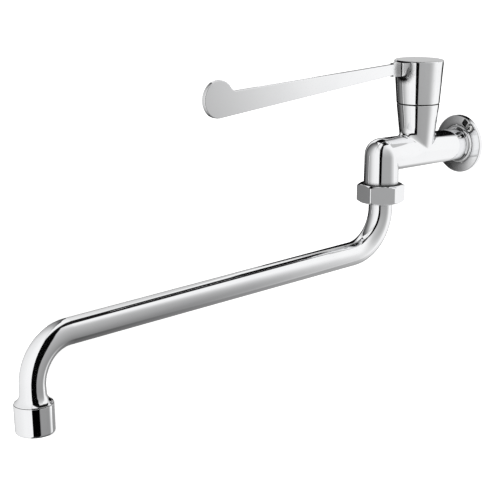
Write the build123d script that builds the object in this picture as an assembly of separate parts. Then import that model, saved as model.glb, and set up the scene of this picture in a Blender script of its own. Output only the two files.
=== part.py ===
from build123d import *
import os
from math import asin, atan2, cos, hypot, pi, radians, sin, sqrt, tan

# Wall-mounted tap with a long elbow lever and a swivelling spout, in millimetres.
# The origin is on the inlet axis in the plane of the wall. The tap stands out along -Y, and +Z is up.

# Places of the two upright axes, measured out from the wall
valve_reach = 51.0
outlet_reach = 90.0

# Fits and clearances
run_fit = 0.05        # radial, between pieces that turn
thread_fit = 0.05     # radial, between threads and brazed joints
flat_fit = 0.03       # between flat faces that slide
loose_fit = 0.3       # all other gaps
small_round = 0.3
soft_round = 0.6
over_cut = 1.0        # how far a cut runs past the face it opens

# Cast body: pipe, wall foot, ball corner, outlet and neck
pipe_wall_r = 12.2
ball_r = 12.9
outlet_r = 13.2
outlet_length = 30.0
foot_r = 14.8
foot_face = 3.9
foot_cove = 2.2
neck_top = 36.0
neck_top_r = 16.4
neck_draft = 6.7
neck_blend = 5.0
inlet_bore_r = 7.0
inlet_bore_drop = 1.0
seat_height = 9.0
seat_hole_r = 5.0
chamber_r = 10.5
bridge_wall = 2.0
outlet_bore_r = 8.0
well_drop = 3.0
socket_r = 10.6
socket_depth = 18.5

# Wall connection
seal_thickness = 1.0
seal_margin = 2.0
nipple_r = 10.478
nipple_length = 13.0
nipple_lead = 0.8
nipple_inner_r = 8.3
nipple_inner_length = 11.0
nipple_key = 12.0
nipple_bore_r = 5.6
rosette_r = 22.5
rosette_thickness = 3.6
rosette_edge = 0.9
rosette_sheet = 1.0
slot_length = 5.4
slot_width = 4.8
slot_round = 1.0
slot_circle_r = 18.6
slot_angle = 67.5     # where the slot lies round the rosette
slot_turn = 53.0      # way that its long side runs
screw_circle_r = 18.5
screw_angle = 47.0
screw_r = 1.45
screw_shank_r = 1.1
screw_tip = 2.5
screw_head_r = 2.8
screw_head_height = 2.1
screw_dome = 0.6
screw_length = 25.0
cross_length = 3.1
cross_width = 0.7
cross_depth = 1.1
cross_turns = (45, 135)

# Quarter-turn headwork in the neck
seal_stand = 2.2
seal_height = 3.0
seal_lip = 1.9
cage_r = 9.2
cage_bore_r = 8.1
disc_thickness = 3.0
disc_gap = 0.02
disc_lug = 3.0
port_inner_r = 1.9
port_outer_r = 6.2
port_angle = 84.0
driver_width = 4.6
driver_height = 2.0
tab_height = 1.0
tab_width = 2.0
tab_length = 2.4
tab_centre = 5.2
window_height = 4.0
window_width = 8.5
window_margin = 0.6
stop_height = 2.4
turn_angle = 90.0
lug_angle = 90.0
lug_rest_angle = 45.0   # way the stop lug faces when the valve is shut
stop_spare_angle = 2.0
collar_r = 6.2
washer_thickness = 0.6
stem_r = 4.5
stem_neck_r = 3.2
stem_ring_section = 1.5
stem_ring_start = 4.0
stem_ring_pitch = 5.0
flange_ring_section = 1.8
barrel_cone = 1.2
hex_flat = 24.0
hex_height = 5.5
hex_chamfer = 1.2
guide_r = 7.5
guide_height = 8.5
clip_thickness = 1.0
clip_r = 6.2
clip_bite = 0.9
clip_mouth = 70.0
clip_land = 0.6
spline_r = 4.0
spline_root_r = 3.5
spline_teeth = 20
spline_length = 9.5
spline_chamfer = 0.8

# Lever: hub and arm in one casting
cap_gap = 0.6
cap_height = 32.9
cap_bottom_r = 16.45
cap_top_r = 19.0
cap_edge = 0.7
hub_wall = 2.0
hub_roof = 5.0
hub_boss_r = 9.0
insert_r = 6.2
insert_flat = 10.6
insert_height = 10.0
arm_thickness = 3.5
arm_top_fall = 2.62
arm_root_height = 8.6
arm_reach = 203.8
arm_edge = 0.6
paddle_r = 13.3
paddle_drop = 13.5
paddle_blend = 6.0
root_half_top = 7.8
root_half_bottom = 4.9
root_depth = 11.0
root_stand = 3.6       # how far the root's cheeks stand out past the hub
root_shoulder = 6.3
root_cheek = 5.6
root_step = 2.1
root_tail = 7.5
root_drop = 0.8
root_blend = 6.0
root_crease = 2.5
root_under = 1.6
grub_r = 2.5
grub_length = 10.0
grub_key = 2.5
grub_point_r = 1.5
grub_boss_r = 4.3

# Union nut and swivel joint
nut_flat = 32.0
nut_height = 13.8
nut_lip = 2.4
nut_chamfer = 1.4
nut_corner = 1.6
nut_top_face_r = 15.8
nut_bottom_face_r = 15.8
nut_corner_trim = 0.25
nut_angle = -41.5       # way that one flat of the nut faces
slide_washer = 0.8
slide_washer_r = 12.8
bush_flange_r = 12.4
bush_flange = 1.5
bush_stop = 5.4
bush_bore_r = 7.2
bush_spare = 0.5
spout_ring_seat_r = 8.8
spout_groove = 2.3
spout_ring_start = 2.6
spout_ring_pitch = 4.4

# Spout
tube_r = 9.0
tube_wall = 1.2
spout_drop = 70.4
spout_reach = 325.3
spout_fall = 3.0
bend_r_top = 32.0
bend_r_end = 30.0
nose_drop = 41.4
flare_height = 8.7
flare_r = 13.0
flare_power = 3.5
flare_points = 5
rim_height = 0.5

# Nozzle
nozzle_thread_r = 12.0
nozzle_thread = 7.0
nozzle_bore_r = 8.0
spigot_r = 9.6
spigot_height = 2.2
nozzle_gap = 0.3
housing_top_r = 13.4
housing_bottom_r = 13.2
housing_height = 20.2
housing_round = 2.2
housing_lip = 1.7
mouth_r = 10.0
mouth_round = 0.4
gasket_r = 11.7
gasket_bore_r = 8.4
gasket_thickness = 1.5
cartridge_r = 11.2
cartridge_wall = 1.3
diffuser_thickness = 1.6
diffuser_hole_r = 0.8
diffuser_pitch = 3.4
diffuser_margin = 1.6
screen_thickness = 0.8
screen_stand = 0.4
screen_hole_r = 0.75
screen_pitch = 2.5
screen_margin = 1.2

# Worked-out heights on the valve axis
neck_ring_seat_r = chamber_r + flange_ring_section
neck_slope = tan(radians(neck_draft))
cage_bottom = seat_height + seal_stand
fixed_disc_z = seat_height + seal_height
moving_disc_z = fixed_disc_z + disc_thickness + disc_gap
driver_z = moving_disc_z + disc_thickness + disc_gap
driver_top = driver_z + driver_height
window_z = driver_z + driver_height / 2
cage_top = window_z + window_height
stop_z = cage_top + window_margin
collar_top = stop_z + stop_height
shoulder_z = collar_top + washer_thickness + flat_fit
hex_bottom = neck_top + flat_fit
hex_top = hex_bottom + hex_height
guide_top = hex_top + guide_height
clip_z = guide_top + loose_fit
spline_z = clip_z + clip_thickness + clip_land
spline_top = spline_z + spline_length
cap_bottom = neck_top + cap_gap
cap_top = cap_bottom + cap_height
cap_slope = (cap_top_r - cap_bottom_r) / cap_height
root_reach = cap_top_r + root_stand
roof_z = cap_top - hub_roof
insert_z = spline_z + loose_fit
boss_bottom = insert_z - loose_fit
insert_top = insert_z + insert_height
grub_z = insert_z + insert_height / 2

# Worked-out heights on the outlet axis
socket_top = -outlet_length + socket_depth
bush_top = socket_top - bush_spare
upper_washer_z = -outlet_length - slide_washer
flange_top = upper_washer_z - flat_fit
flange_bottom = flange_top - bush_flange
lower_washer_z = flange_bottom - flat_fit - slide_washer
nut_bottom = lower_washer_z - nut_lip
nut_top = nut_bottom + nut_height
tube_top = flange_top + bush_stop

# The spout's far end: the nozzle is square to the long run, so it leans back by the same angle
nose_turn = Vector(0, -outlet_reach - spout_reach, -spout_drop - spout_reach * tan(radians(spout_fall)))
nozzle_up = Vector(0, -sin(radians(spout_fall)), cos(radians(spout_fall)))
nozzle_rim = nose_turn - nozzle_up * nose_drop
nozzle_place = Pos(nozzle_rim.X, nozzle_rim.Y, nozzle_rim.Z) * Rot(spout_fall, 0, 0)

# Heights at the nozzle, measured along its own axis from the rim of the flare
flare_top = rim_height + flare_height
housing_top = -nozzle_gap
housing_bottom = housing_top - housing_height
gasket_top = -nozzle_thread - flat_fit
gasket_bottom = gasket_top - gasket_thickness
cartridge_top = gasket_bottom - flat_fit
cartridge_bottom = housing_bottom + housing_lip + flat_fit
cartridge_bore_r = cartridge_r - cartridge_wall

up = (0, 0, 1)
out = (0, -1, 0)
wall_side = (0, 1, 0)
wall_centre = (0, 0, 0)
valve_axis = (0, -valve_reach, 0)
outlet_axis = (0, -outlet_reach, 0)


def profile_plane(at, along):
    # local x runs along the axis and local y is the radius
    side = (0, 1, 0) if along == up else (-1, 0, 0)
    return Plane(origin=at, x_dir=along, z_dir=side)


def turned(outline, at=wall_centre, along=up, rounds=()):
    # a lathe-turned solid: outline points are (distance along the axis, radius)
    face = make_face(Polyline(*outline, close=True))
    for index, radius in rounds:
        target = Vector(*outline[index])
        corner = face.vertices().sort_by_distance(target)[0]
        face = fillet(corner, radius)
    return revolve(profile_plane(at, along) * face, Axis(at, along))


def rod(radius, start, end, at=wall_centre, along=up):
    return turned([(start, 0), (end, 0), (end, radius), (start, radius)], at, along)


def ring(outer, inner, start, end, at=wall_centre, along=up):
    return turned([(start, inner), (end, inner), (end, outer), (start, outer)], at, along)


def o_ring(centre_r, section, height, at):
    # a rubber ring of round section
    return Pos(at[0], at[1], height) * Torus(centre_r, section / 2)


def hexagon(flat, start, end, at, facing=0.0, corner=0.0):
    # a hexagonal prism with one flat turned to the given angle
    shape = RegularPolygon(flat / 2, 6, major_radius=False, rotation=facing + 30)
    if corner > 0:
        shape = fillet(shape.vertices(), corner)
    return Pos(at[0], at[1], start) * extrude(shape, end - start)


def sector(far, start, end, width_angle):
    # a slice no wider than a half turn, centred on the X direction
    half = radians(width_angle / 2)
    corners = [(0, 0), (far * cos(half), -far * sin(half)), (2 * far, 0), (far * cos(half), far * sin(half))]
    return Pos(0, 0, start) * extrude(make_face(Polyline(*corners, close=True)), end - start)


def wedge(outer, inner, start, end, centre_angle, width_angle, at):
    # part of a ring on an upright axis
    piece = ring(outer, inner, start, end) & sector(2 * outer, start, end, width_angle)
    return Pos(at[0], at[1], 0) * Rot(0, 0, centre_angle) * piece


def spline_star(tip_r, root_r):
    # a ring of pointed teeth
    step = 2 * pi / spline_teeth
    points = []
    for tooth in range(spline_teeth):
        points.append((tip_r * cos(tooth * step), tip_r * sin(tooth * step)))
        points.append((root_r * cos((tooth + 0.5) * step), root_r * sin((tooth + 0.5) * step)))
    return make_face(Polyline(*points, close=True))


def hole_grid(pitch, limit_r):
    # places of a triangular grid of holes inside a circle
    places = []
    rows = int(limit_r / pitch) + 2
    for row in range(-rows, rows + 1):
        for column in range(-rows, rows + 1):
            x = pitch * (column + row / 2)
            y = pitch * row * sqrt(3) / 2
            if hypot(x, y) < limit_r:
                places.append((x, y))
    return places


def body_outside():
    pipe = turned(
        [(seal_thickness, 0), (seal_thickness, foot_r), (foot_face, foot_r), (foot_face, pipe_wall_r),
         (outlet_reach, ball_r), (outlet_reach, 0)],
        along=out, rounds=[(3, foot_cove), (2, small_round)])
    corner = Pos(*outlet_axis) * Sphere(ball_r)
    outlet = turned(
        [(0, 0), (0, ball_r), (nut_top, outlet_r), (-outlet_length, outlet_r), (-outlet_length, 0)],
        at=outlet_axis, rounds=[(3, small_round)])
    neck = turned([(0, 0), (0, neck_top_r - neck_top * neck_slope), (neck_top, neck_top_r), (neck_top, 0)],
                  at=valve_axis, rounds=[(2, small_round)])
    joined = pipe + corner + outlet + neck
    # the line where the neck stands on the pipe
    crease = [edge for edge in joined.edges()
              if edge.geom_type == GeomType.BSPLINE
              and abs(edge.center().Y + valve_reach) < neck_top_r
              and edge.center().Z > 0]
    return fillet(crease, neck_blend)


def waterways():
    passage_end = valve_reach + seat_hole_r
    well_start = passage_end + bridge_wall
    nipple_end = nipple_inner_length + over_cut
    inlet_centre = (0, 0, -inlet_bore_drop)
    nipple_hole = rod(nipple_inner_r + thread_fit, 0, nipple_end, along=out)
    inlet = rod(inlet_bore_r, nipple_inner_length, passage_end, at=inlet_centre, along=out)
    seat_hole = rod(seat_hole_r, -inlet_bore_drop, seat_height + over_cut, at=valve_axis)
    chamber = rod(chamber_r, seat_height, neck_top + over_cut, at=valve_axis)
    ring_seat = rod(neck_ring_seat_r, neck_top - flange_ring_section, neck_top + over_cut, at=valve_axis)
    well = rod(chamber_r, -well_drop, seat_height + over_cut, at=valve_axis)
    well = well & Pos(0, -well_start - chamber_r, 0) * Box(4 * chamber_r, 2 * chamber_r, 4 * chamber_r)
    outlet = rod(outlet_bore_r, well_start + bridge_wall, outlet_reach, along=out)
    corner = Pos(*outlet_axis) * Sphere(outlet_bore_r)
    down = rod(outlet_bore_r, -outlet_length, 0, at=outlet_axis)
    socket = rod(socket_r, -outlet_length - over_cut, socket_top, at=outlet_axis)
    return [nipple_hole, inlet, seat_hole, chamber, ring_seat, well, outlet, corner, down, socket]


def valve_body():
    body = body_outside()
    for cut in waterways():
        body = body - cut
    return body


def inlet_nipple():
    # threaded connector between the wall fitting and the body, turned by a hexagon key from inside
    outline = [(-nipple_length, nipple_bore_r), (-nipple_length, nipple_r), (0, nipple_r),
               (0, nipple_inner_r), (nipple_inner_length, nipple_inner_r),
               (nipple_inner_length, nipple_bore_r)]
    nipple = turned(outline, along=out, rounds=[(1, nipple_lead), (4, soft_round)])
    key = hexagon(nipple_key, -nipple_length - over_cut, 0, wall_centre)
    return nipple - Plane(origin=wall_centre, x_dir=(1, 0, 0), z_dir=out) * key


def inlet_seal():
    return ring(foot_r - seal_margin, nipple_inner_r + thread_fit, flat_fit, seal_thickness, along=out)


def screw_places():
    places = []
    for side in (-1, 1):
        angle = radians(screw_angle)
        places.append((side * screw_circle_r * cos(angle), 0, side * screw_circle_r * sin(angle)))
    return places


def rosette_slot():
    # the open slot beside one screw
    angle, turn = radians(slot_angle), radians(slot_turn)
    place = (slot_circle_r * cos(angle), over_cut, slot_circle_r * sin(angle))
    opening = Plane(origin=place, x_dir=(cos(turn), 0, sin(turn)), z_dir=out) * RectangleRounded(
        slot_length, slot_width, slot_round)
    return extrude(opening, rosette_thickness + 2 * over_cut)


def wall_rosette():
    # pressed cup with its open side on the wall
    bore_r = foot_r + loose_fit
    rim_r = rosette_r - rosette_sheet
    face_back = rosette_thickness - rosette_sheet
    cup = turned(
        [(0, rim_r), (0, rosette_r), (rosette_thickness, rosette_r), (rosette_thickness, bore_r),
         (face_back, bore_r), (face_back, rim_r)],
        along=out, rounds=[(2, rosette_edge)])
    for place in screw_places():
        cup = cup - rod(screw_r + loose_fit, -over_cut, rosette_thickness + over_cut, at=place, along=out)
    return cup - rosette_slot()


def rosette_pad():
    # rubber ring that fills the rosette's hollow back and seals it on the wall
    pad = ring(rosette_r - rosette_sheet - run_fit, foot_r + loose_fit, 0,
               rosette_thickness - rosette_sheet - flat_fit, along=out)
    for place in screw_places():
        pad = pad - rod(screw_shank_r + run_fit, -over_cut, rosette_thickness, at=place, along=out)
    return pad


def rosette_screws():
    screws = []
    head_end = rosette_thickness + screw_head_height
    tip = rosette_thickness - screw_length
    outline = [(tip, 0), (tip + screw_tip, screw_r), (0, screw_r), (0, screw_shank_r),
               (rosette_thickness, screw_shank_r), (rosette_thickness, screw_head_r),
               (head_end - screw_dome, screw_head_r), (head_end, screw_head_r - 2 * screw_dome),
               (head_end, 0)]
    dome_corner = outline.index((head_end - screw_dome, screw_head_r))
    bar = Box(cross_length, 2 * cross_depth, cross_width)
    for place in screw_places():
        screw = turned(outline, at=place, along=out, rounds=[(dome_corner, screw_dome)])
        for turn in cross_turns:
            screw = screw - Pos(place[0], -head_end, place[2]) * Rot(0, turn, 0) * bar
        screws.append(screw)
    return Compound(children=screws)


def headwork_body():
    # brass barrel: disc cage below, thread in the neck, hexagon, and the guide of the stem on top
    barrel_r = chamber_r - thread_fit
    stem_bore_r = stem_r + run_fit
    outline = [(cage_bottom, cage_bore_r), (cage_bottom, cage_r), (cage_top, cage_r),
               (cage_top + barrel_cone, barrel_r), (hex_bottom, barrel_r), (hex_bottom, guide_r),
               (guide_top, guide_r), (guide_top, stem_bore_r), (shoulder_z, stem_bore_r),
               (shoulder_z, cage_bore_r)]
    barrel = turned(outline, at=valve_axis, rounds=[(6, soft_round)])
    nut = hexagon(hex_flat, hex_bottom, hex_top, valve_axis)
    nut = nut & turned([(hex_bottom, 0), (hex_bottom, hex_flat / 2 + hex_chamfer),
                        (hex_top - hex_chamfer, hex_flat / 2 + 2 * hex_chamfer),
                        (hex_top, hex_flat / 2), (hex_top, 0)], at=valve_axis)
    barrel = barrel + (nut - rod(guide_r - over_cut, 0, hex_top + over_cut, at=valve_axis))
    # two water windows, in line with each other
    barrel = barrel - Pos(0, -valve_reach, (window_z + cage_top) / 2) * Box(
        4 * cage_r, window_width, window_height)
    # the stop that the stem's lug runs between
    rib_angle = 360 - turn_angle - lug_angle - 2 * stop_spare_angle
    rib_centre = lug_rest_angle + turn_angle / 2 + 180
    rib = wedge(cage_bore_r + small_round, collar_r + loose_fit, stop_z, shoulder_z, rib_centre, rib_angle,
                valve_axis)
    # slots for the fixed disc's lugs
    slot_top = moving_disc_z - disc_gap
    slot = Pos(0, -valve_reach, (cage_bottom + slot_top) / 2) * Box(
        4 * cage_r, disc_lug + 2 * run_fit, slot_top - cage_bottom)
    return barrel + rib - slot


def seat_seal():
    # rubber ring: a thin foot on the seat and a wide head inside the cage
    inner = seat_hole_r + loose_fit
    outline = [(seat_height, inner), (seat_height, inner + seal_lip),
               (cage_bottom - loose_fit, cage_bore_r - run_fit), (fixed_disc_z, cage_bore_r - run_fit),
               (fixed_disc_z, inner)]
    return turned(outline, at=valve_axis)


def ceramic_disc(start, radius, port_turn):
    # a lapped disc with two opposite ports
    end = start + disc_thickness
    disc = rod(radius, start, end, at=valve_axis)
    for side in (0, 180):
        disc = disc - wedge(port_outer_r, port_inner_r, start - over_cut, end + over_cut, port_turn + side,
                            port_angle, valve_axis)
    return disc


def fixed_disc():
    disc = ceramic_disc(fixed_disc_z, cage_bore_r - run_fit, 0)
    middle = Pos(0, -valve_reach, fixed_disc_z + disc_thickness / 2)
    lugs = middle * Box(2 * cage_r, disc_lug, disc_thickness)
    lugs = lugs - rod(cage_bore_r - over_cut, fixed_disc_z, moving_disc_z, at=valve_axis)
    return disc + lugs


def moving_disc():
    disc = ceramic_disc(moving_disc_z, cage_bore_r - loose_fit, 90)
    for side in (-1, 1):
        pocket = Box(tab_length + 2 * run_fit, tab_width + 2 * run_fit, 2 * (tab_height + flat_fit))
        disc = disc - Pos(side * tab_centre, -valve_reach, moving_disc_z + disc_thickness) * pocket
    return disc


def stem_ring_heights():
    start = shoulder_z + stem_ring_start
    return [start, start + stem_ring_pitch]


def spindle():
    # driver bar with two tabs, stop collar, ringed stem and splined end
    half_groove = stem_ring_section * 0.675
    groove_r = stem_r - stem_ring_section
    clip_groove_r = stem_r - clip_bite
    groove_top = clip_z + clip_thickness + flat_fit
    outline = [(driver_z, 0), (driver_z, stem_neck_r), (stop_z, stem_neck_r), (stop_z, collar_r),
               (collar_top, collar_r), (collar_top, stem_r)]
    for centre in stem_ring_heights():
        outline += [(centre - half_groove, stem_r), (centre - half_groove, groove_r),
                    (centre + half_groove, groove_r), (centre + half_groove, stem_r)]
    outline += [(clip_z - flat_fit, stem_r), (clip_z - flat_fit, clip_groove_r), (groove_top, clip_groove_r),
                (groove_top, stem_r), (spline_z, stem_r), (spline_z, 0)]
    stem = turned(outline, at=valve_axis)
    bar_r = cage_bore_r - 2 * loose_fit
    bar = rod(bar_r, driver_z, driver_top, at=valve_axis)
    stem = stem + (bar & Pos(0, -valve_reach, driver_z) * Box(2 * bar_r, driver_width, 2 * driver_height))
    tab = Box(tab_length, tab_width, 2 * tab_height)
    for side in (-1, 1):
        stem = stem + Pos(side * tab_centre, -valve_reach, driver_z) * tab
    lug = wedge(cage_bore_r - loose_fit, collar_r - over_cut, stop_z, collar_top, lug_rest_angle, lug_angle,
                valve_axis)
    teeth = Pos(0, -valve_reach, spline_z) * extrude(spline_star(spline_r, spline_root_r), spline_length)
    teeth = teeth & turned([(spline_z, 0), (spline_z, spline_r), (spline_top - spline_chamfer, spline_r),
                            (spline_top, spline_root_r), (spline_top, 0)], at=valve_axis)
    return stem + lug + teeth


def spindle_o_rings():
    section = stem_ring_section - run_fit
    centre_r = stem_r - stem_ring_section / 2
    rings = [o_ring(centre_r, section, height, valve_axis) for height in stem_ring_heights()]
    return Compound(children=rings)


def thrust_washer():
    return ring(collar_r, stem_r + run_fit, collar_top, collar_top + washer_thickness, at=valve_axis)


def headwork_o_ring():
    section = flange_ring_section - 2 * run_fit
    centre_r = (chamber_r + neck_ring_seat_r) / 2
    return o_ring(centre_r, section, neck_top - flange_ring_section / 2, valve_axis)


def spindle_circlip():
    clip_top = clip_z + clip_thickness
    clip = ring(clip_r, stem_r - clip_bite + run_fit, clip_z, clip_top, at=valve_axis)
    return clip - wedge(clip_r + over_cut, over_cut, clip_z, clip_top, 180, clip_mouth, valve_axis)


def arm_outline():
    # side view of the arm: local x is the distance from the valve axis, local y is the height
    top_slope = tan(radians(arm_top_fall))
    start = cap_bottom_r
    paddle_z = cap_top - paddle_drop
    root_bottom = cap_top - arm_root_height
    reach = arm_reach - start
    drop = paddle_z - root_bottom
    tangent = atan2(drop, reach) - asin(paddle_r / hypot(reach, drop))
    touch = (arm_reach + paddle_r * sin(tangent), paddle_z - paddle_r * cos(tangent))
    top_end = arm_reach - paddle_r / 2
    blade = make_face(Polyline(
        (start, root_bottom), touch, (arm_reach, paddle_z), (top_end, cap_top - top_end * top_slope),
        (start, cap_top - start * top_slope), close=True))
    outline = blade + Pos(arm_reach, paddle_z) * Circle(paddle_r)
    crook = outline.vertices().filter_by(
        lambda v: v.Y > paddle_z and arm_reach - 1.2 * paddle_r < v.X < arm_reach)
    return fillet(crook, paddle_blend)


def arm_blade():
    side_view = Plane(origin=valve_axis, x_dir=out, z_dir=(-1, 0, 0))
    blade = extrude(side_view * arm_outline(), arm_thickness / 2, both=True)
    return fillet(blade.faces().filter_by(Axis.X).edges(), arm_edge)


def arm_root():
    # wedge that grows out of the hub: a plan outline crossed with a front outline
    half_arm = arm_thickness / 2
    step_end = root_reach + root_step
    plan_points = [(-cap_bottom_r + root_shoulder, -root_half_top),
                   (-root_reach + root_shoulder, -root_half_top), (-root_reach, -root_cheek),
                   (-step_end, -half_arm), (-root_reach - root_tail, -half_arm + run_fit)]
    mirrored = [(x, -y) for x, y in reversed(plan_points)]
    plan = make_face(Polyline(*plan_points, *mirrored, close=True))
    hollows = [v for v in plan.vertices() if abs(v.X + step_end) < run_fit]
    plan = fillet(hollows, root_blend)
    noses = [v for v in plan.vertices() if abs(v.X + root_reach) < run_fit and abs(v.Y) > half_arm]
    plan = fillet(noses, soft_round)
    top = cap_top - root_drop
    bottom = cap_top - root_depth
    floor_plane = Plane(origin=(0, -valve_reach, bottom - over_cut), x_dir=(0, 1, 0), z_dir=up)
    column = floor_plane * extrude(plan, root_depth + 2 * over_cut)
    front = make_face(Polyline((-root_half_top, top), (root_half_top, top), (root_half_bottom, bottom),
                               (-root_half_bottom, bottom), close=True))
    lower = [v for v in front.vertices() if v.Y < bottom + over_cut]
    front = fillet(lower, root_under)
    front_view = Plane(origin=(0, -valve_reach, 0), x_dir=(1, 0, 0), z_dir=out)
    return column & front_view * extrude(front, 2 * root_reach)


def lever_handle():
    hub = turned([(cap_bottom, 0), (cap_bottom, cap_bottom_r), (cap_top, cap_top_r), (cap_top, 0)],
                 at=valve_axis, rounds=[(2, cap_edge), (1, small_round)])
    root = arm_root()
    blank = hub + root
    seams = new_edges(hub, root, combined=blank)
    creases = [seam for seam in seams if seam.bounding_box().size.Z > root_depth / 2]
    casting = fillet(creases, root_crease) + arm_blade()
    inner_bottom_r = cap_bottom_r - hub_wall
    inner_top_r = inner_bottom_r + (roof_z - cap_bottom) * cap_slope
    cavity = turned([(cap_bottom - over_cut, 0), (cap_bottom - over_cut, inner_bottom_r),
                     (cap_bottom, inner_bottom_r), (roof_z, inner_top_r), (roof_z, 0)], at=valve_axis)
    grub_line = (0, -valve_reach, grub_z)
    post = rod(hub_boss_r, boss_bottom, roof_z + over_cut, at=valve_axis)
    rib = rod(grub_boss_r, hub_boss_r - over_cut, inner_bottom_r + over_cut, at=grub_line, along=wall_side)
    casting = casting - cavity + post + rib
    keyed = rod(insert_r + run_fit, boss_bottom - over_cut, insert_top + loose_fit, at=valve_axis)
    keyed = keyed & Pos(0, -valve_reach, insert_top) * Box(
        4 * insert_r, insert_flat + 2 * run_fit, 4 * insert_height)
    tapped = rod(grub_r + thread_fit, 0, 2 * cap_top_r, at=grub_line, along=wall_side)
    return casting - keyed - tapped


def spline_insert():
    blank = rod(insert_r, insert_z, insert_top, at=valve_axis)
    blank = blank & Pos(0, -valve_reach, insert_top) * Box(4 * insert_r, insert_flat, 4 * insert_height)
    teeth = extrude(spline_star(spline_r + run_fit, spline_root_r + run_fit),
                    spline_top + loose_fit - insert_z + over_cut)
    return blank - Pos(0, -valve_reach, insert_z - over_cut) * teeth


def grub_screw():
    tip = insert_flat / 2 + run_fit
    cone_end = tip + grub_r - grub_point_r
    end = tip + grub_length
    screw = turned([(tip, 0), (tip, grub_point_r), (cone_end, grub_r), (end, grub_r), (end, 0)],
                   at=(0, -valve_reach, grub_z), along=wall_side, rounds=[(3, small_round)])
    socket = Plane(origin=(0, -valve_reach + end, grub_z), x_dir=(1, 0, 0), z_dir=out)
    return screw - socket * extrude(RegularPolygon(grub_key / 2, 6, major_radius=False), grub_key)


def union_nut():
    nut = hexagon(nut_flat, nut_bottom, nut_top, outlet_axis, nut_angle, nut_corner)
    corner_r = nut_flat / sqrt(3) - nut_corner_trim
    lathe = turned([(nut_bottom, 0), (nut_bottom, nut_bottom_face_r), (nut_bottom + nut_chamfer, corner_r),
                    (nut_top - nut_chamfer, corner_r), (nut_top, nut_top_face_r), (nut_top, 0)],
                   at=outlet_axis)
    lip_top = nut_bottom + nut_lip
    lip_r = tube_r + loose_fit
    thread_r = outlet_r + thread_fit
    bore = turned([(nut_bottom - over_cut, 0), (nut_bottom - over_cut, lip_r), (lip_top, lip_r),
                   (lip_top, thread_r), (nut_top + over_cut, thread_r), (nut_top + over_cut, 0)],
                  at=outlet_axis)
    return (nut & lathe) - bore


def slide_washers():
    lower = ring(slide_washer_r, tube_r + loose_fit, lower_washer_z, lower_washer_z + slide_washer,
                 at=outlet_axis)
    upper = ring(slide_washer_r, socket_r + run_fit, upper_washer_z, upper_washer_z + slide_washer,
                 at=outlet_axis)
    return Compound(children=[lower, upper])


def spout_ring_heights():
    first = tube_top + spout_ring_start
    return [first, first + spout_ring_pitch]


def spout_bush():
    # turned collar brazed on the top of the spout tube, with two ring grooves
    bush_r = socket_r - run_fit
    collar_bore_r = tube_r + thread_fit
    half_groove = spout_groove / 2
    outline = [(flange_bottom, collar_bore_r), (flange_bottom, bush_flange_r), (flange_top, bush_flange_r),
               (flange_top, bush_r)]
    for centre in spout_ring_heights():
        outline += [(centre - half_groove, bush_r), (centre - half_groove, spout_ring_seat_r),
                    (centre + half_groove, spout_ring_seat_r), (centre + half_groove, bush_r)]
    outline += [(bush_top, bush_r), (bush_top, bush_bore_r), (tube_top, bush_bore_r),
                (tube_top, collar_bore_r)]
    return turned(outline, at=outlet_axis)


def spout_o_rings():
    centre_r = (spout_ring_seat_r + socket_r) / 2
    section = socket_r - spout_ring_seat_r - 2 * run_fit
    rings = [o_ring(centre_r, section, height, outlet_axis) for height in spout_ring_heights()]
    return Compound(children=rings)


def flared_end():
    # the tube's end swells out to a sharp rim, with a socket for the thread ring
    inner_r = tube_r - tube_wall
    socket_end_r = spigot_r + thread_fit
    swell = flare_r - tube_r
    curve_points = []
    for index in range(flare_points + 1):
        part = index / flare_points
        curve_points.append((flare_top - part * flare_height, tube_r + swell * part ** flare_power))
    end_tangent = (-flare_height, swell * flare_power)
    outer_curve = Spline(*curve_points, tangents=[(-1, 0), end_tangent])
    rest = Polyline((rim_height, flare_r), (0, flare_r), (0, socket_end_r), (spigot_height, socket_end_r),
                    (spigot_height, inner_r), (flare_top, inner_r), (flare_top, tube_r))
    profile = make_face(Wire([*outer_curve.edges(), *rest.edges()]))
    return nozzle_place * revolve(profile_plane(wall_centre, up) * profile, Axis.Z)


def spout_tube():
    start = Vector(0, -outlet_reach, tube_top)
    knee = Vector(0, -outlet_reach, -spout_drop)
    end = nozzle_rim + nozzle_up * flare_top
    path = FilletPolyline(start, knee, nose_turn, end, radius=[bend_r_top, bend_r_end])
    section = Plane(origin=path @ 0, z_dir=path % 0)
    outside = sweep(section * Circle(tube_r), path=path)
    hole = sweep(section * Circle(tube_r - tube_wall), path=path)
    return outside - hole + flared_end()


def nozzle_thread_ring():
    # threaded ring with a spigot brazed into the flare
    thread_r = nozzle_thread_r - thread_fit
    outline = [(-nozzle_thread, nozzle_bore_r), (-nozzle_thread, thread_r), (0, thread_r), (0, spigot_r),
               (spigot_height, spigot_r), (spigot_height, nozzle_bore_r)]
    return nozzle_place * turned(outline, rounds=[(1, small_round)])


def aerator_housing():
    seat_r = cartridge_r + run_fit
    seat_top = cartridge_top - loose_fit
    outline = [(housing_top, nozzle_thread_r), (housing_top, housing_top_r),
               (housing_bottom, housing_bottom_r), (housing_bottom, mouth_r),
               (housing_bottom + housing_lip, mouth_r),
               (housing_bottom + housing_lip, seat_r), (seat_top, seat_r), (seat_top, nozzle_thread_r)]
    return nozzle_place * turned(outline, rounds=[(1, small_round), (2, housing_round), (3, mouth_round)])


def aerator_washer():
    return nozzle_place * ring(gasket_r, gasket_bore_r, gasket_bottom, gasket_top)


def aerator_cartridge():
    # plastic sleeve with a plate of round holes at its top
    sleeve = ring(cartridge_r, cartridge_bore_r, cartridge_bottom, cartridge_top)
    holes = [Pos(x, y) * Circle(diffuser_hole_r)
             for x, y in hole_grid(diffuser_pitch, cartridge_bore_r - diffuser_margin)]
    plate = extrude(Circle(cartridge_bore_r + small_round) - holes, diffuser_thickness)
    return nozzle_place * (sleeve + Pos(0, 0, cartridge_top - diffuser_thickness) * plate)


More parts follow.
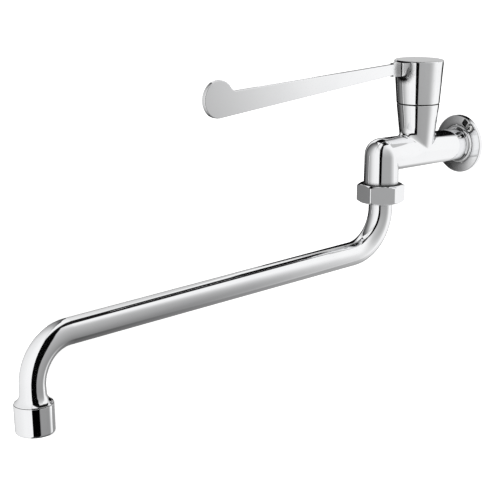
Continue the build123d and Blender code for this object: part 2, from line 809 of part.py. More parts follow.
def aerator_screen():
    radius = cartridge_bore_r - run_fit
    holes = [Pos(x, y) * RegularPolygon(screen_hole_r, 6)
             for x, y in hole_grid(screen_pitch, radius - screen_margin)]
    return nozzle_place * Pos(0, 0, cartridge_bottom + screen_stand) * extrude(
        Circle(radius) - holes, screen_thickness)


pieces = {
    "valve_body": valve_body,
    "inlet_nipple": inlet_nipple,
    "inlet_seal": inlet_seal,
    "wall_rosette": wall_rosette,
    "rosette_pad": rosette_pad,
    "rosette_screws": rosette_screws,
    "headwork_body": headwork_body,
    "headwork_o_ring": headwork_o_ring,
    "seat_seal": seat_seal,
    "fixed_disc": fixed_disc,
    "moving_disc": moving_disc,
    "spindle": spindle,
    "spindle_o_rings": spindle_o_rings,
    "thrust_washer": thrust_washer,
    "spindle_circlip": spindle_circlip,
    "lever_handle": lever_handle,
    "spline_insert": spline_insert,
    "grub_screw": grub_screw,
    "union_nut": union_nut,
    "slide_washers": slide_washers,
    "spout_bush": spout_bush,
    "spout_o_rings": spout_o_rings,
    "spout_tube": spout_tube,
    "nozzle_thread_ring": nozzle_thread_ring,
    "aerator_housing": aerator_housing,
    "aerator_washer": aerator_washer,
    "aerator_cartridge": aerator_cartridge,
    "aerator_screen": aerator_screen,
}

os.makedirs("parts", exist_ok=True)
for name, make in pieces.items():
    export_step(make(), f"parts/{name}.step")
    print(name)
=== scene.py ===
import math

import bmesh
import bpy
import numpy as np
from mathutils import Matrix, Vector


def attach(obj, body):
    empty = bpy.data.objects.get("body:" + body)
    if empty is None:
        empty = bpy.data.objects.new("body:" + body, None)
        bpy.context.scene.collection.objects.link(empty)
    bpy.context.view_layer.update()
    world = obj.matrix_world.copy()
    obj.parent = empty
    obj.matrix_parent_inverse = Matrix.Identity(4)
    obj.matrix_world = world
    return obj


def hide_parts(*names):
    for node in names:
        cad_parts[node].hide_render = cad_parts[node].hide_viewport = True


print("tap: loading the packed frame")
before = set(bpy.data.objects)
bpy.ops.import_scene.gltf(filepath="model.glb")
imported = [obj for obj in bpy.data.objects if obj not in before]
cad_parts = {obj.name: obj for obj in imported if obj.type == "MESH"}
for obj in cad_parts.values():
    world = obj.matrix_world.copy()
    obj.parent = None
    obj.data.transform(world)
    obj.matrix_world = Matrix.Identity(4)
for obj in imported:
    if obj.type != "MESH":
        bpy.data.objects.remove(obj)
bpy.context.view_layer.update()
scene = bpy.context.scene
scene.view_settings.view_transform = "Standard"

perMetre = 1000.0          # sizes below are in mm


photoCamera = {
    "place": (0.9, -1.04712, 0.21503),     # metres; the next two are the directions of its picture's sides
    "right": (0.67363659, 0.73902022, 0.00792902),
    "up": (-0.1645713, 0.13953474, 0.97644577),
    "lens": 126.49,
    "sensor": 36.0,
    "nearest": 0.05,
    "farthest": 60.0,
}


def makeCamera(view):
    data = bpy.data.cameras.new("tapCamera")
    data.lens = view["lens"]
    data.sensor_width = view["sensor"]
    data.clip_start = view["nearest"]
    data.clip_end = view["farthest"]
    camera = bpy.data.objects.new("tapCamera", data)
    scene.collection.objects.link(camera)
    right = Vector(view["right"]).normalized()
    back = right.cross(Vector(view["up"])).normalized()
    up = back.cross(right)
    turn = Matrix((right, up, back)).transposed().to_4x4()
    camera.matrix_world = Matrix.Translation(view["place"]) @ turn
    scene.camera = camera


makeCamera(photoCamera)
print("tap: camera set")


def meshPiece(name, points, faces, smooth=True):
    mesh = bpy.data.meshes.new(name)
    mesh.from_pydata(np.asarray(points, float).reshape(-1, 3), [], np.asarray(faces).tolist())
    mesh.update()
    if smooth:
        mesh.shade_smooth()
    piece = bpy.data.objects.new(name, mesh)
    scene.collection.objects.link(piece)
    return piece


def gridFaces(rows, columns, closeRows=False, closeColumns=False):
    # quads of a rows by columns grid, row after row, wrapped round where a side is closed
    r = np.arange(rows if closeRows else rows - 1)
    c = np.arange(columns if closeColumns else columns - 1)
    i, j = np.meshgrid(r, c, indexing="ij")
    iNext = (i + 1) % rows
    jNext = (j + 1) % columns
    corners = [i * columns + j, i * columns + jNext, iNext * columns + jNext, iNext * columns + j]
    return np.stack(corners, -1).reshape(-1, 4)


def addNode(tree, kind, inputs=None, **settings):
    # a shader node; an input that is given another node's socket is linked, and any other is set
    node = tree.nodes.new("ShaderNode" + kind)
    for key, value in settings.items():
        setattr(node, key, value)
    for key, value in (inputs or {}).items():
        socket = node.inputs[key]
        if isinstance(value, bpy.types.NodeSocket):
            tree.links.new(value, socket)
        else:
            socket.default_value = value
    return node


def toneRamp(tree, factor, places, dark, light):
    ramp = addNode(tree, "ValToRGB", {"Fac": factor})
    for element, place, colour in zip(ramp.color_ramp.elements, places, (dark, light)):
        element.position = place
        element.color = (*colour, 1.0)
    return ramp.outputs["Color"]


def objectNoise(tree, noise, scale, stretch=(1, 1, 1)):
    # noise = (detail, roughness), carried by the piece's own Object coordinates
    detail, roughness = noise
    place = addNode(tree, "TexCoord")
    mapping = addNode(tree, "Mapping", {"Vector": place.outputs["Object"], "Scale": stretch})
    grain = addNode(tree, "TexNoise", {"Vector": mapping.outputs[0], "Scale": scale, "Detail": detail,
                                       "Roughness": roughness})
    return grain.outputs["Fac"]


def emptyMaterial(name):
    material = bpy.data.materials.new(name)
    material.use_nodes = True
    material.node_tree.nodes.clear()
    return material, material.node_tree


def shadedMaterial(name, metallic=0.0):
    material, tree = emptyMaterial(name)
    out = addNode(tree, "OutputMaterial")
    shader = addNode(tree, "BsdfPrincipled", {"Metallic": metallic})
    tree.links.new(shader.outputs[0], out.inputs["Surface"])
    return material, tree, shader


def creaseShade(tree, tone, crease, samples=8):
    # the tone, darkened with painted shade where another surface stands within reach, as in creases and gaps
    space = addNode(tree, "AmbientOcclusion", {"Distance": crease["reach"]}, samples=samples)
    openness = space.outputs["AO"]
    shade = addNode(tree, "MapRange", {"Value": openness, "From Min": crease["shut"],
                                       "From Max": crease["open"], "To Min": crease["darkest"],
                                       "To Max": 1.0}, interpolation_type="SMOOTHSTEP")
    shaded = addNode(tree, "VectorMath", {0: tone, "Scale": shade.outputs[0]}, operation="SCALE")
    return shaded.outputs["Vector"], openness


chromeLook = {
    "dull": (0.845, 0.850, 0.862),
    "bright": (0.885, 0.889, 0.897),
    "cloudScale": 14.0,
    "cloudNoise": (4.0, 0.55),
    "toneFrom": (0.35, 0.6),
    "fineScale": 420.0,
    "fineNoise": (3.0, 0.6),
    "smudgeFrom": 0.12,
    "smudgeTo": 0.42,
    "smooth": 0.035,       # roughness of the clean plating
    "smudged": 0.085,
    "waveNoise": (2.0, 0.4),
    "creased": 0.34,       # roughness where no polishing wheel reaches
    "creasedShut": 0.55,
    "creasedOpen": 0.97,
}

# waviness is a depth in metres; the painted crease shade's reach is in metres too, and it is darkest where it
# is shut
chromeKinds = {
    "castChrome": {
        "waviness": 0.000012, "waveScale": 55.0, "stretch": (1, 1, 1),
        "crease": {"reach": 0.004, "darkest": 0.08, "shut": 0.6, "open": 0.9},
    },
    "plateChrome": {
        "waviness": 0.000010, "waveScale": 70.0, "stretch": (1, 1, 1),
        "crease": {"reach": 0.006, "darkest": 0.01, "shut": 0.7, "open": 0.98},
    },
    "drawnChrome": {
        "waviness": 0.000006, "waveScale": 40.0, "stretch": (1, 0.15, 1),
        "crease": {"reach": 0.004, "darkest": 0.35, "shut": 0.55, "open": 0.85},
    },
    "leverChrome": {
        "waviness": 0.000010, "waveScale": 45.0, "stretch": (1, 1, 1),
        "crease": {"reach": 0.007, "darkest": 0.01, "shut": 0.93, "open": 0.99},
    },
}


def makeChrome(name, kind, look):
    # plating with cloudy tone, smudges in the gloss, faint waves, and dull creases darkened with painted
    # shade
    material, tree, shader = shadedMaterial(name, 1.0)
    cloud = objectNoise(tree, look["cloudNoise"], look["cloudScale"])
    fine = objectNoise(tree, look["fineNoise"], look["fineScale"])
    tone = toneRamp(tree, cloud, look["toneFrom"], look["dull"], look["bright"])
    smudge = addNode(tree, "Math", {0: cloud, 1: fine}, operation="MULTIPLY")
    rough = addNode(tree, "MapRange", {"Value": smudge.outputs[0], "From Min": look["smudgeFrom"],
                                       "From Max": look["smudgeTo"], "To Min": look["smooth"],
                                       "To Max": look["smudged"]})
    wave = objectNoise(tree, look["waveNoise"], kind["waveScale"], kind["stretch"])
    bump = addNode(tree, "Bump", {"Height": wave, "Distance": kind["waviness"], "Strength": 1.0})
    # painted shade: the tone is darkened in creases and gaps
    shaded, openness = creaseShade(tree, tone, kind["crease"])
    dull = addNode(tree, "MapRange", {"Value": openness, "From Min": look["creasedShut"],
                                      "From Max": look["creasedOpen"], "To Min": look["creased"],
                                      "To Max": 0.0})
    blurred = addNode(tree, "Math", {0: rough.outputs[0], 1: dull.outputs[0]}, operation="MAXIMUM")
    tree.links.new(shaded, shader.inputs["Base Color"])
    tree.links.new(blurred.outputs[0], shader.inputs["Roughness"])
    tree.links.new(bump.outputs[0], shader.inputs["Normal"])
    return material


turnedLook = {
    "lineScale": 130.0,
    "wander": 1.5,
    "lineDetail": 2.0,
    "lineDepth": 0.00002,
    "cloudScale": 60.0,
    "cloudNoise": (5.0, 0.6),
    "toneFrom": (0.3, 0.7),
    "glossier": 0.8,
    "rougher": 1.25,
    # painted shade in creases and gaps: its reach in metres, darkest where it is shut
    "crease": {"reach": 0.006, "darkest": 0.01, "shut": 0.45, "open": 1.0},
}

# material's name, darker colour, lighter colour, roughness
turnedKinds = {
    "dimChrome": ("dimChrome", (0.16, 0.16, 0.17), (0.24, 0.24, 0.25), 0.22),
    "plated": ("platedSteel", (0.60, 0.60, 0.59), (0.76, 0.76, 0.75), 0.2),
    "brass": ("turnedBrass", (0.58, 0.40, 0.17), (0.74, 0.56, 0.28), 0.3),
    "stainless": ("turnedSteel", (0.50, 0.49, 0.48), (0.66, 0.65, 0.64), 0.28),
}


def makeTurnedMetal(name, dark, light, roughness, look):
    # metal with the fine lines that a lathe tool leaves, one above the other
    material, tree, shader = shadedMaterial(name, 1.0)
    place = addNode(tree, "TexCoord")
    lines = addNode(tree, "TexWave", {"Vector": place.outputs["Object"], "Scale": look["lineScale"],
                                      "Distortion": look["wander"], "Detail": look["lineDetail"]},
                    wave_type="BANDS", bands_direction="Z")
    cloud = objectNoise(tree, look["cloudNoise"], look["cloudScale"])
    tone = toneRamp(tree, cloud, look["toneFrom"], dark, light)
    bump = addNode(tree, "Bump", {"Height": lines.outputs["Fac"], "Distance": look["lineDepth"],
                                  "Strength": 1.0})
    rough = addNode(tree, "MapRange", {"Value": lines.outputs["Fac"], "To Min": roughness * look["glossier"],
                                       "To Max": roughness * look["rougher"]})
    # painted shade: the turned metal's tone is darkened in creases and gaps
    shaded = creaseShade(tree, tone, look["crease"])[0]
    tree.links.new(shaded, shader.inputs["Base Color"])
    tree.links.new(rough.outputs[0], shader.inputs["Roughness"])
    tree.links.new(bump.outputs[0], shader.inputs["Normal"])
    return material


mouldedLook = {
    "grainNoise": (4.0, 0.6),
    "cloudScale": 90.0,
    "cloudNoise": (4.0, 0.6),
    "toneFrom": (0.3, 0.7),
    "glossier": 0.85,
    "rougher": 1.15,
}

# material's name, darker colour, lighter colour, roughness, grain's scale, grain's depth in metres
mouldedKinds = {
    "rubber": ("blackRubber", (0.012, 0.012, 0.013), (0.030, 0.030, 0.031), 0.62, 900.0, 0.00002),
    "ceramic": ("lappedCeramic", (0.74, 0.73, 0.70), (0.84, 0.83, 0.80), 0.22, 1600.0, 0.000004),
    "plastic": ("paleAcetal", (0.66, 0.67, 0.66), (0.78, 0.78, 0.77), 0.42, 1200.0, 0.000008),
}


def makeMoulded(name, dark, light, roughness, grainScale, grainDepth, look):
    # moulded or pressed stuff: a fine grain in the gloss and the surface, and a cloudy tone
    material, tree, shader = shadedMaterial(name)
    grain = objectNoise(tree, look["grainNoise"], grainScale)
    cloud = objectNoise(tree, look["cloudNoise"], look["cloudScale"])
    tone = toneRamp(tree, cloud, look["toneFrom"], dark, light)
    low, high = look["toneFrom"]
    rough = addNode(tree, "MapRange", {"Value": grain, "From Min": low, "From Max": high,
                                       "To Min": roughness * look["glossier"],
                                       "To Max": roughness * look["rougher"]})
    bump = addNode(tree, "Bump", {"Height": grain, "Distance": grainDepth, "Strength": 1.0})
    tree.links.new(tone, shader.inputs["Base Color"])
    tree.links.new(rough.outputs[0], shader.inputs["Roughness"])
    tree.links.new(bump.outputs[0], shader.inputs["Normal"])
    return material


finishes = {key: makeChrome(key, kind, chromeLook) for key, kind in chromeKinds.items()}
finishes.update({key: makeTurnedMetal(*kind, turnedLook) for key, kind in turnedKinds.items()})
finishes.update({key: makeMoulded(*kind, mouldedLook) for key, kind in mouldedKinds.items()})

finishedNodes = {
    "castChrome": ["valve_body", "inlet_nipple"],
    "plateChrome": ["wall_rosette", "union_nut"],
    "drawnChrome": ["spout_tube", "aerator_housing"],
    "leverChrome": ["lever_handle"],
    "dimChrome": ["nozzle_thread_ring"],
    "brass": ["headwork_body", "spindle", "spline_insert", "spout_bush"],
    "stainless": ["rosette_screws", "grub_screw", "spindle_circlip", "aerator_screen"],
    "rubber": ["rosette_pad", "inlet_seal", "seat_seal", "headwork_o_ring", "spindle_o_rings",
               "spout_o_rings", "aerator_washer"],
    "ceramic": ["fixed_disc", "moving_disc"],
    "plastic": ["thrust_washer", "slide_washers", "aerator_cartridge"],
}

for finish, nodeNames in finishedNodes.items():
    for nodeName in nodeNames:
        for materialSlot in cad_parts[nodeName].material_slots:
            materialSlot.material = finishes[finish]
print("tap: finishes on", sum(len(nodeNames) for nodeNames in finishedNodes.values()), "nodes")


def outwardFaces(points, faces):
    # the same faces, turned over when the volume they close (sum of corner products over six) is negative
    a, b, c, d = (points[faces[:, k]] for k in range(4))
    volume = np.einsum("ij,ij->", a, np.cross(b, c)) + np.einsum("ij,ij->", a, np.cross(c, d))
    return faces if volume > 0 else faces[:, ::-1]


roundLook = {
    "sharpAngle": 32.0,    # edges that turn by more degrees than this stay sharp
    "pole": 0.001,         # a profile that starts nearer to its axis than this comes to a point
    "mergeDistance": 1e-7,
}


def roundPiece(name, radius, depth, centre):
    # closed ring of profiles: each grid point stands radius away from a level line that runs into the wall,
    # turned by its column's angle from +X towards +Z, and lies depth mm behind the wall's face
    angle = np.linspace(0, 2 * np.pi, radius.shape[1], endpoint=False)
    points = np.stack([centre[0] + radius * np.cos(angle), np.broadcast_to(depth, radius.shape),
                       centre[1] + radius * np.sin(angle)], -1).reshape(-1, 3) / perMetre
    closed = radius[0, 0] > roundLook["pole"]
    faces = gridFaces(*radius.shape, closeRows=closed, closeColumns=True)
    piece = meshPiece(name, points, outwardFaces(points, faces))
    if not closed:
        cleaner = bmesh.new()
        cleaner.from_mesh(piece.data)
        bmesh.ops.remove_doubles(cleaner, verts=cleaner.verts, dist=roundLook["mergeDistance"])
        cleaner.to_mesh(piece.data)
        cleaner.free()
        piece.data.shade_smooth()
    piece.data.set_sharp_from_angle(angle=math.radians(roundLook["sharpAngle"]))
    return piece


def threadCut(depth, angle, pitch, land=0.1):
    # share of the thread's depth that is cut away, one turn per pitch: a V whose crest and root are flat for
    # land of its half width and whose flanks are eased by the smooth step
    phase = (depth / pitch + angle / (2 * np.pi)) % 1.0
    flank = np.clip((np.abs(2 * phase - 1) - land) / (1 - 2 * land), 0, 1)
    return flank * flank * (3 - 2 * flank)


def dressPiece(piece, finish, body, node):
    piece.data.materials.append(finishes[finish])
    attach(piece, body)
    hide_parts(node)


inletThread = {
    "crest": 10.478,
    "cut": 1.16,
    "pitch": 1.814,
    "length": 13.0,
    "lead": 1.2,           # the cone at the thread's free end
    "runOut": 1.6,
    "key": 12.0,           # across the flats of the hexagon inside
    "keyChamfer": 0.5,
    "bore": 5.6,
    "boreStep": 0.02,
    "collar": 8.3,
    "collarLength": 11.0,
    "collarRound": 0.6,
    "roundMiddle": 0.18,   # how far the collar's rounding stands in from its corner, halfway round
    "columns": 120,
    "ringsPerTurn": 12,
}


def makeInletNipple(size):
    # threaded half behind the wall, with the key's hexagon inside, and the plain collar inside the body: the
    # radius is the crest less the thread's cut, the hexagon's is its half width over the cosine of the angle
    # from the nearest flat, and the rest is turned
    angle = np.linspace(0, 2 * np.pi, size["columns"], endpoint=False)[None]
    rings = int(size["length"] / size["pitch"] * size["ringsPerTurn"])
    depth = np.linspace(0.0, size["length"], rings)[:, None]
    fade = np.clip(depth / size["runOut"], 0, 1)
    radius = size["crest"] - size["cut"] * threadCut(depth, angle, size["pitch"]) * fade
    radius = np.minimum(radius, size["crest"] + size["length"] - size["lead"] - depth)
    hexagon = size["key"] / 2 / np.cos((angle + np.pi / 6) % (np.pi / 3) - np.pi / 6)
    end = size["length"]
    foot = -size["collarLength"]
    inside = [
        (hexagon + size["keyChamfer"], end),
        (hexagon, end - size["keyChamfer"]),
        (hexagon, 0.0),
        (size["bore"], -size["boreStep"]),
        (size["bore"], foot),
        (size["collar"] - size["collarRound"], foot),
        (size["collar"] - size["roundMiddle"], foot + size["roundMiddle"]),
        (size["collar"], foot + size["collarRound"]),
        (size["collar"], 0.0),
    ]
    flat = np.ones_like(angle)
    radius = np.concatenate([radius] + [r * flat for r, along in inside])
    depth = np.concatenate([depth * flat] + [along * flat for r, along in inside])
    return roundPiece("inletNippleThreaded", radius, depth, (0.0, 0.0))


dressPiece(makeInletNipple(inletThread), "plated", "root", "inlet_nipple")

wallScrew = {
    "circle": 18.5,        # radius of the circle that the two screws stand on, and the upper one's bearing
    "bearing": 47.0,
    "tip": 21.4,
    "point": 3.4,
    "pointPower": 0.7,
    "crest": 1.45,
    "core": 0.98,
    "shank": 1.1,
    "pitch": 1.15,
    "plate": -3.6,
    "head": 2.8,
    "skirt": 0.9,
    "top": -5.7,
    "domePower": 4,
    "cross": {"half": 1.55, "width": 0.62, "depth": 1.15, "soft": 0.16, "ramp": 0.35, "turn": 45.0},
    "columns": 72,
    "headRings": 34,
    "ringsPerTurn": 9,
}


def crossWell(across, angle, cross):
    # depth of the pressed cross: full within its arms' width, eased at their sides and ramped at their ends
    heading = angle - math.radians(cross["turn"])
    x = np.abs(across * np.cos(heading))
    z = np.abs(across * np.sin(heading))
    arm = np.minimum(np.maximum(x, z) / cross["half"], 1.0)
    slot = np.clip((cross["width"] / 2 + cross["soft"] / 2 - np.minimum(x, z)) / cross["soft"], 0, 1)
    return cross["depth"] * slot * np.clip((1 - arm) / cross["ramp"], 0, 1)


def makeWallScrew(name, size, side):
    # pointed thread up to the wall, plain shank through the plate, and a pan head whose dome is the root of
    # one less the share of its radius to a power, with a cross pressed in it
    angle = np.linspace(0, 2 * np.pi, size["columns"], endpoint=False)[None]
    flat = np.ones_like(angle)
    rings = int(size["tip"] / size["pitch"] * size["ringsPerTurn"])
    depth = np.linspace(size["tip"], 0.0, rings)[:, None]
    taper = np.clip((size["tip"] - depth) / size["point"], 0, 1) ** size["pointPower"]
    cut = threadCut(depth, angle, size["pitch"])
    thread = taper * (size["crest"] - (size["crest"] - size["core"]) * cut)
    across = np.linspace(size["head"], 0.0, size["headRings"])[:, None]
    dome = np.sqrt(np.clip(1 - (across / size["head"]) ** size["domePower"], 0, 1))
    skirt = size["plate"] - size["skirt"]
    top = skirt + (size["top"] - skirt) * dome + crossWell(across, angle, size["cross"])
    radius = np.concatenate([thread * flat, size["shank"] * flat, size["shank"] * flat, size["head"] * flat,
                             across * flat])
    depth = np.concatenate([depth * flat, 0.0 * flat, size["plate"] * flat, size["plate"] * flat, top * flat])
    bearing = math.radians(size["bearing"])
    centre = (side * size["circle"] * math.cos(bearing), side * size["circle"] * math.sin(bearing))
    return roundPiece(name, radius, depth, centre)


for screwName, side in (("wallScrewUpper", 1), ("wallScrewLower", -1)):
    dressPiece(makeWallScrew(screwName, wallScrew, side), "plated", "root", "rosette_screws")
print("tap: threaded pieces made")


studio = {
    "mirror": 0.875,       # how much of a card the chrome gives back
    "secondBounce": 1.1,   # least light that a reflection seen in another reflection gets
    "secondDepth": 1.5,    # glossy depth past which a ray is such a reflection
    "stageReach": 4.0,     # metres to the floor's and wall's edges
    "stageGrey": 0.8,
    "floorHeight": -1.1,
    "floorGlow": 0.6,
    "wallDepth": 0.0002,
    "wallGlow": 1.0,
}

displayCurve = {"knee": 0.04045, "slope": 12.92, "offset": 0.055, "power": 2.4}


def cardLevel(grey, curve=displayCurve):
    # the card's brightness that chrome shows as this display grey, 0 to 255
    shade = np.asarray(grey, float) / 255.0
    curved = ((shade + curve["offset"]) / (1 + curve["offset"])) ** curve["power"]
    return np.where(shade <= curve["knee"], shade / curve["slope"], curved) / studio["mirror"]


def glowMaterial(name, laterLeast):
    # shows the card's own glow; a reflection seen in another reflection gets at least laterLeast
    material, tree = emptyMaterial(name)
    glow = addNode(tree, "Attribute", attribute_name="glow")
    path = addNode(tree, "LightPath")
    later = addNode(tree, "Math", {0: path.outputs["Glossy Depth"], 1: studio["secondDepth"]},
                    operation="GREATER_THAN")
    pale = addNode(tree, "Math", {0: glow.outputs["Fac"], 1: laterLeast}, operation="MAXIMUM")
    level = addNode(tree, "Mix", {0: later.outputs[0], 2: glow.outputs["Fac"], 3: pale.outputs[0]})
    light = addNode(tree, "Emission", {"Color": (1, 1, 1, 1), "Strength": level.outputs[0]})
    out = addNode(tree, "OutputMaterial")
    tree.links.new(light.outputs[0], out.inputs["Surface"])
    return material


cardGlow = glowMaterial("cardGlow", 0.0)
sideGlow = glowMaterial("sideGlow", studio["secondBounce"])


def hangCard(name, points, greys, material):
    # a card of the studio that only reflections see: a grid of points in mm, with one grey at each
    card = meshPiece(name, points / perMetre, gridFaces(*points.shape[:2]), smooth=False)
    glow = card.data.attributes.new("glow", "FLOAT", "POINT")
    glow.data.foreach_set("value", cardLevel(np.broadcast_to(greys, points.shape[:2])).ravel())
    card.data.materials.append(material)
    card.visible_camera = False
    card.visible_shadow = False


def makeUprightCard(name, x, y, heights, greys, material=cardGlow):
    # the line of x and y carried straight up through the heights; greys go by height, then along the line
    points = np.zeros((len(heights), len(x), 3))
    points[..., 0] = x
    points[..., 1] = y
    points[..., 2] = np.asarray(heights, float)[:, None]
    hangCard(name, points, greys, material)


def makeLevelCard(name, light):
    # a level strip between two values of x, with one grey at each y
    points = np.zeros((len(light["y"]), 2, 3))
    points[..., 0] = light["x"]
    points[..., 1] = np.asarray(light["y"], float)[:, None]
    points[..., 2] = light["height"]
    hangCard(name, points, np.asarray(light["greys"], float)[:, None], cardGlow)


def steps(runs):
    # runs of evenly spaced values: first, end and step of each
    return np.concatenate([np.arange(*run) for run in runs]).astype(float)


leftLight = {
    # a bent soft box on the left: black at its far end, then brighter and brighter towards the front
    "x": [-560, -520, -460, -345, -233, -108, 0, 449],
    "y": [0, -43, -103, -218, -330, -455, -573, -894],
    "greys": [2, 8, 58, 112, 162, 228, 243, 247],
    "heights": [-700, 350, 900],
    "dimming": [1, 1, 0.86],
}
makeUprightCard("leftCard", leftLight["x"], leftLight["y"], leftLight["heights"],
                np.outer(leftLight["dimming"], leftLight["greys"]))

gapLight = {
    # black between the soft boxes, in front of the tap: it draws the dark line down each round form
    "x": [449, 444, 348],
    "y": [-894, -870, -455],
    "greys": [200, 2, 2],
    "heights": [-700, 900],
}
makeUprightCard("darkGap", gapLight["x"], gapLight["y"], gapLight["heights"], gapLight["greys"], sideGlow)

plateLight = {
    # a small card that only the rosette's face sees: dark on the left, darker still below
    "x": [-280, -270, -262, -256, -251, -246, -237],
    "sum": -560,           # x and y add up to this along the card
    "heights": [-115, -80, -64, -22],
    "low": [6, 8, 40, 105, 165, 222, 242],
    "high": [62, 75, 120, 155, 195, 246, 250],
}
makeUprightCard("plateCard", plateLight["x"], plateLight["sum"] - np.array(plateLight["x"]),
                plateLight["heights"], [plateLight["low"]] * 2 + [plateLight["high"]] * 2)

rightLight = {
    # the big soft box on the right, by height: its darkest grey, the y at which it is half way to the
    # brightest, and how wide the change is
    "heights": [-800, -500, -270, 0, 200, 430],
    "low": [126, 133, 147, 171, 190, 208],
    "middle": [600, 375, 218, 92, 30, -90],
    "spread": [700, 600, 400, 310, 330, 500],
    "top": 246,
    # the edge of the dark gap: its y by height, how soft it is, and the grey in front of it
    "gapHeights": [-100, -40, 150, 350, 500, 900],
    "gapEdge": [-440, -412, -395, -375, -320, -200],
    "gapSoft": 16.0,
    "gapGrey": 2,
    "x": 348,
    "ySteps": [(-455, -180, 14), (-170, 500, 30), (520, 950, 80)],
    "zSteps": [(-1000, -120, 60), (-110, 60, 30), (80, 960, 60)],
}


def rightGreys(y, z, light):
    # the smooth step from the low grey to the top grey along y, cut to black in front of the dark gap's edge
    low, middle, spread = (np.interp(z, light["heights"], light[key]) for key in ("low", "middle", "spread"))
    rise = np.clip((y - middle) / spread + 0.5, 0, 1)
    grey = low + (light["top"] - low) * rise * rise * (3 - 2 * rise)
    gap = np.clip((y - np.interp(z, light["gapHeights"], light["gapEdge"])) / light["gapSoft"], 0, 1)
    return light["gapGrey"] + (grey - light["gapGrey"]) * gap


rightY = steps(rightLight["ySteps"])
rightZ = steps(rightLight["zSteps"])
makeUprightCard("rightCard", rightLight["x"] + 0 * rightY, rightY, rightZ,
                rightGreys(rightY[None], rightZ[:, None], rightLight), sideGlow)

wallLight = {
    # what the sides that face the wall show: greys by height
    "heights": [-700, -530, -354, -230, -160, -12, 20, 75, 200],
    "low": [85, 105, 135, 158, 165, 165, 180, 190, 200],
    # right of the pipe it is paler: by how much, from which x and height, how soft each edge is, and its top
    "paler": 78,
    "palerX": -22,
    "palerXSoft": 30,
    "palerHeight": -200,
    "palerHeightSoft": 80,
    "palerTop": 70,
    "palest": 245,
    # black patches behind the tap: lowest and highest x, then lowest and highest z
    "patches": [(-1300, -150, -160, 60), (-156, -86, -75, 60), (-92, 14, -8, 50), (-75, -45, 44, 72),
                (-40, 18, 44, 66), (-1300, -420, -354, 18)],
    "patchGrey": 8,
    "patchSoft": 6.0,
    "y": 2,
    "xSteps": [(-1300, -180, 60), (-176, 65, 4)],
    "zSteps": [(-700, -100, 40), (-96, 112, 4)],
}


def wallGreys(x, z, light):
    # greys by height, paler to the right of the pipe, with soft-edged black patches
    rightward = np.clip((x - light["palerX"]) / light["palerXSoft"], 0, 1)
    upward = np.clip((z - light["palerHeight"]) / light["palerHeightSoft"], 0, 1)
    grey = np.interp(z, light["heights"], light["low"])
    grey = grey + light["paler"] * rightward * upward * (z < light["palerTop"])
    for left, right, low, high in light["patches"]:
        edges = (x - left, right - x, z - low, high - z)
        inside = [np.clip(edge / light["patchSoft"], 0, 1) for edge in edges]
        grey = grey + (light["patchGrey"] - grey) * inside[0] * inside[1] * inside[2] * inside[3]
    return np.minimum(grey, light["palest"])


wallX = steps(wallLight["xSteps"])
wallZ = steps(wallLight["zSteps"])
makeUprightCard("wallCard", wallX, wallLight["y"] + 0 * wallX, wallZ,
                wallGreys(wallX[None], wallZ[:, None], wallLight))

backLight = {
    # a soft box on the left that runs along the wall: it brightens upwards
    "x": [-900, -175],
    "y": [-60, -60],
    "heights": [-45, 30, 200, 600],
    "greys": [180, 190, 215, 246],
}
makeUprightCard("backCard", backLight["x"], backLight["y"], backLight["heights"],
                np.array(backLight["greys"])[:, None])

topLight = {
    # black over the neck, near the wall: it draws the dark line along the top of the pipe
    "x": (-85, 20),
    "y": (-95, 2),
    "height": 110,
    "greys": (8, 8),
}
makeLevelCard("topCard", topLight)

floorLight = {
    # the ground that the undersides show: dark in front, paler behind the wall
    "x": (-900, 900),
    "y": [-900, 100, 187, 270, 393, 533, 666, 866, 1400],
    "height": -700,
    "greys": [60, 88, 105, 126, 165, 200, 223, 233, 240],
}
makeLevelCard("floorCard", floorLight)
print("tap: cards hung")


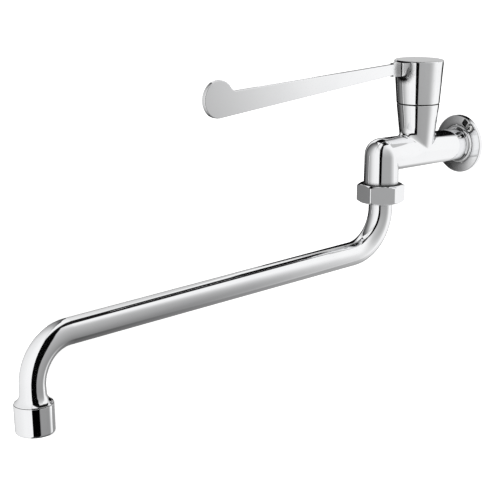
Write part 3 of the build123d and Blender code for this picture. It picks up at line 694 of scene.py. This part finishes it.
def plainStage(name, corners, glowStrength, inReflections):
    # a flat stage surface that only its front shows: pale, and lifted to white for the camera, for what is
    # seen through clear parts and, if asked, for reflections
    surface = meshPiece(name, corners, [[0, 1, 2, 3]], smooth=False)
    material, tree = emptyMaterial(name)
    path = addNode(tree, "LightPath")
    seen = addNode(tree, "Math", {0: path.outputs["Is Camera Ray"], 1: path.outputs["Is Transmission Ray"]},
                   operation="MAXIMUM")
    if inReflections:
        seen = addNode(tree, "Math", {0: seen.outputs[0], 1: path.outputs["Is Glossy Ray"]},
                       operation="MAXIMUM")
    pale = addNode(tree, "BsdfDiffuse", {"Color": (*[studio["stageGrey"]] * 3, 1)})
    lift = addNode(tree, "Emission", {"Color": (1, 1, 1, 1), "Strength": glowStrength})
    glow = addNode(tree, "AddShader", {0: pale.outputs[0], 1: lift.outputs[0]})
    front = addNode(tree, "MixShader", {0: seen.outputs[0], 1: pale.outputs[0], 2: glow.outputs[0]})
    clear = addNode(tree, "BsdfTransparent")
    side = addNode(tree, "NewGeometry")
    final = addNode(tree, "MixShader", {0: side.outputs["Backfacing"], 1: front.outputs[0],
                                        2: clear.outputs[0]})
    out = addNode(tree, "OutputMaterial")
    tree.links.new(final.outputs[0], out.inputs["Surface"])
    surface.data.materials.append(material)
    return surface


reach = studio["stageReach"]
ground = studio["floorHeight"]
behind = studio["wallDepth"]
plainStage("paleFloor", [(-reach, -reach, ground), (reach, -reach, ground), (reach, reach, ground),
                         (-reach, reach, ground)], studio["floorGlow"], True)
wall = plainStage("paleWall", [(-reach, behind, ground), (reach, behind, ground), (reach, behind, reach),
                               (-reach, behind, reach)], studio["wallGlow"], False)
wall.visible_glossy = False
wall.visible_shadow = False


softWorld = {
    "bright": 1.04,
    "dark": 0.01,
    # the dark gap: the direction square to it, how far it is shifted, and where its soft edge starts and ends
    "gapNormal": (-0.827, -0.449, 0.338),
    "gapShift": 0.04,
    "gapFrom": 0.15,
    "gapTo": 0.23,
}


def makeWorld(look):
    # white for the camera; for reflections white with one dark gap that runs from the camera over the top
    world = bpy.data.worlds.new("softWorld")
    scene.world = world
    world.use_nodes = True
    tree = world.node_tree
    tree.nodes.clear()
    place = addNode(tree, "TexCoord")
    across = addNode(tree, "VectorMath", {0: place.outputs["Generated"],
                                          1: Vector(look["gapNormal"]).normalized()}, operation="DOT_PRODUCT")
    shifted = addNode(tree, "Math", {0: across.outputs["Value"], 1: look["gapShift"]}, operation="SUBTRACT")
    away = addNode(tree, "Math", {0: shifted.outputs[0]}, operation="ABSOLUTE")
    band = addNode(tree, "MapRange", {"Value": away.outputs[0], "From Min": look["gapFrom"],
                                      "From Max": look["gapTo"], "To Min": look["dark"],
                                      "To Max": look["bright"]}, interpolation_type="SMOOTHSTEP")
    path = addNode(tree, "LightPath")
    level = addNode(tree, "Mix", {0: path.outputs["Is Glossy Ray"], 2: 1.0, 3: band.outputs[0]})
    background = addNode(tree, "Background", {"Color": (1, 1, 1, 1), "Strength": level.outputs[0]})
    out = addNode(tree, "OutputWorld")
    tree.links.new(background.outputs[0], out.inputs["Surface"])


makeWorld(softWorld)
print("tap: stage and world set")
